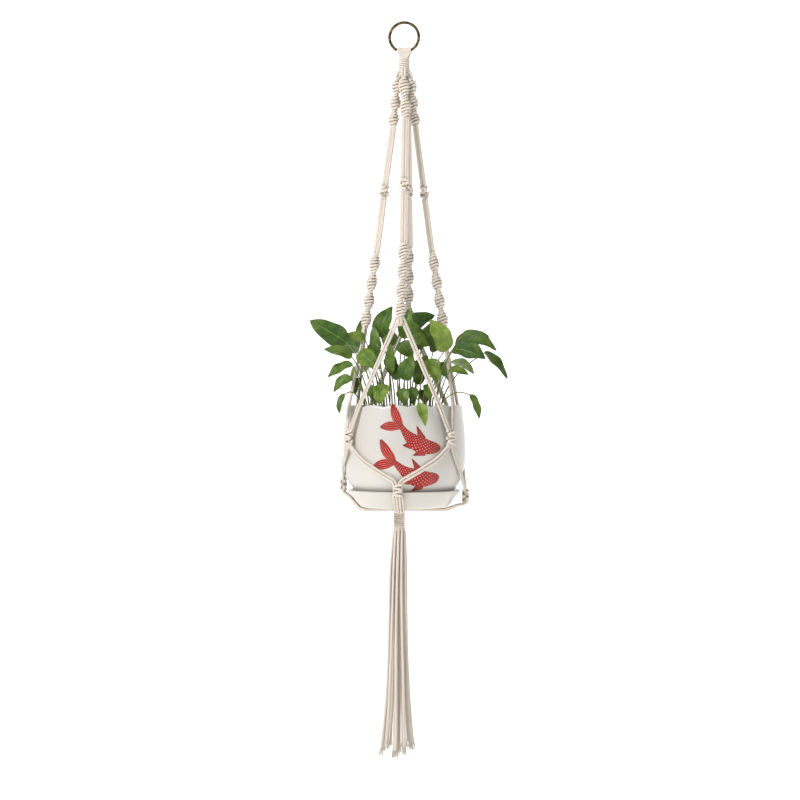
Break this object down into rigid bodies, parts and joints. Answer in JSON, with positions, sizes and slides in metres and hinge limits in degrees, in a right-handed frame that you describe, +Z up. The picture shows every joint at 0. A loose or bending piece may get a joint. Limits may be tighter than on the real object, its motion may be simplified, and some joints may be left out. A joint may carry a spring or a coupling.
{
  "type": "hanging macrame planter",
  "caption": "Hanging knotted cotton cord planter on a metal ring, holding a glazed pot on a saucer with a trailing leafy plant above a long tassel.",
  "frame": {"origin": "centre of the hanging ring", "axes": "+Z up along the hanging line, ring in the XZ plane, -Y the front, +X to the right of someone facing the front"},
  "size_m": [0.2793, 0.189, 1.0536],
  "materials": {
    "bronze": "satin",
    "cotton": "matte",
    "cream_glaze": "satin",
    "red_glaze": "satin",
    "soil": "matte",
    "stem": "satin",
    "leaf": "satin"
  },
  "bodies": {
    "ring": {"ring": "bronze"},
    "ring_loops": {"ring_loops": "cotton"},
    "hanger": {"top_wrap": "cotton", "front_upper_twist": "cotton", "front_mid_knot": "cotton", "front_lower_twist": "cotton", "front_strands": "cotton", "front_lower_legs": "cotton", "front_low_knot": "cotton", "right_upper_twist": "cotton", "right_mid_knot": "cotton", "right_lower_twist": "cotton", "right_strands": "cotton", "right_lower_legs": "cotton", "right_low_knot": "cotton", "back_upper_twist": "cotton", "back_mid_knot": "cotton", "back_lower_twist": "cotton", "back_strands": "cotton", "back_lower_legs": "cotton", "back_low_knot": "cotton", "left_upper_twist": "cotton", "left_mid_knot": "cotton", "left_lower_twist": "cotton", "left_strands": "cotton", "left_lower_legs": "cotton", "left_low_knot": "cotton", "front_right_knot": "cotton", "back_right_knot": "cotton", "back_left_knot": "cotton", "front_left_knot": "cotton", "gather_strands": "cotton", "bottom_wrap": "cotton", "saucer": "cream_glaze"},
    "potted_plant": {"pot": "cream_glaze", "fish_relief": "red_glaze", "soil": "soil", "stems": "stem", "leaves": "leaf"},
    "tassel": {"tassel_cord_01": "cotton", "tassel_cord_02": "cotton", "tassel_cord_03": "cotton", "tassel_cord_04": "cotton", "tassel_cord_05": "cotton", "tassel_cord_06": "cotton", "tassel_cord_07": "cotton", "tassel_cord_08": "cotton", "tassel_cord_09": "cotton", "tassel_cord_10": "cotton", "tassel_cord_11": "cotton", "tassel_cord_12": "cotton", "tassel_cord_13": "cotton", "tassel_cord_14": "cotton", "tassel_cord_15": "cotton", "tassel_cord_16": "cotton"},
    "front_legs": {"front_upper_legs": "cotton"},
    "right_legs": {"right_upper_legs": "cotton"},
    "back_legs": {"back_upper_legs": "cotton"},
    "left_legs": {"left_upper_legs": "cotton"}
  },
  "joints": [
    {"name": "ring_sway", "type": "hinge", "parent": "ring", "child": "ring_loops", "pos_m": [0, 0, 0], "axis": [0, 1, 0], "range_deg": [-20, 20]},
    {"name": "hanger_swing", "type": "hinge", "parent": "ring_loops", "child": "hanger", "pos_m": [0, 0, -0.021], "axis": [1, 0, 0], "range_deg": [-25, 25]},
    {"name": "pot_lift", "type": "slide", "parent": "hanger", "child": "potted_plant", "axis": [0, 0, 1], "range_m": [0, 0.03]},
    {"name": "tassel_swing", "type": "hinge", "parent": "hanger", "child": "tassel", "pos_m": [-0.007, 0, -0.709], "axis": [1, 0, 0], "range_deg": [-25, 25]},
    {"name": "front_legs_open", "type": "hinge", "parent": "hanger", "child": "front_legs", "pos_m": [0, -0.06246, -0.563], "axis": [1, 0, 0], "range_deg": [0, 11.5]},
    {"name": "right_legs_open", "type": "hinge", "parent": "hanger", "child": "right_legs", "pos_m": [0.07185, 0, -0.563], "axis": [0, 1, 0], "range_deg": [0, 11.5]},
    {"name": "back_legs_open", "type": "hinge", "parent": "hanger", "child": "back_legs", "pos_m": [0, 0.06246, -0.563], "axis": [-1, 0, 0], "range_deg": [0, 11.5]},
    {"name": "left_legs_open", "type": "hinge", "parent": "hanger", "child": "left_legs", "pos_m": [-0.07185, 0, -0.563], "axis": [0, -1, 0], "range_deg": [0, 11.5]}
  ],
  "couplings": [
    {"joint": "front_legs_open", "follows": "pot_lift", "rad_per_m": 6.667},
    {"joint": "right_legs_open", "follows": "pot_lift", "rad_per_m": 6.667},
    {"joint": "back_legs_open", "follows": "pot_lift", "rad_per_m": 6.667},
    {"joint": "left_legs_open", "follows": "pot_lift", "rad_per_m": 6.667}
  ]
}
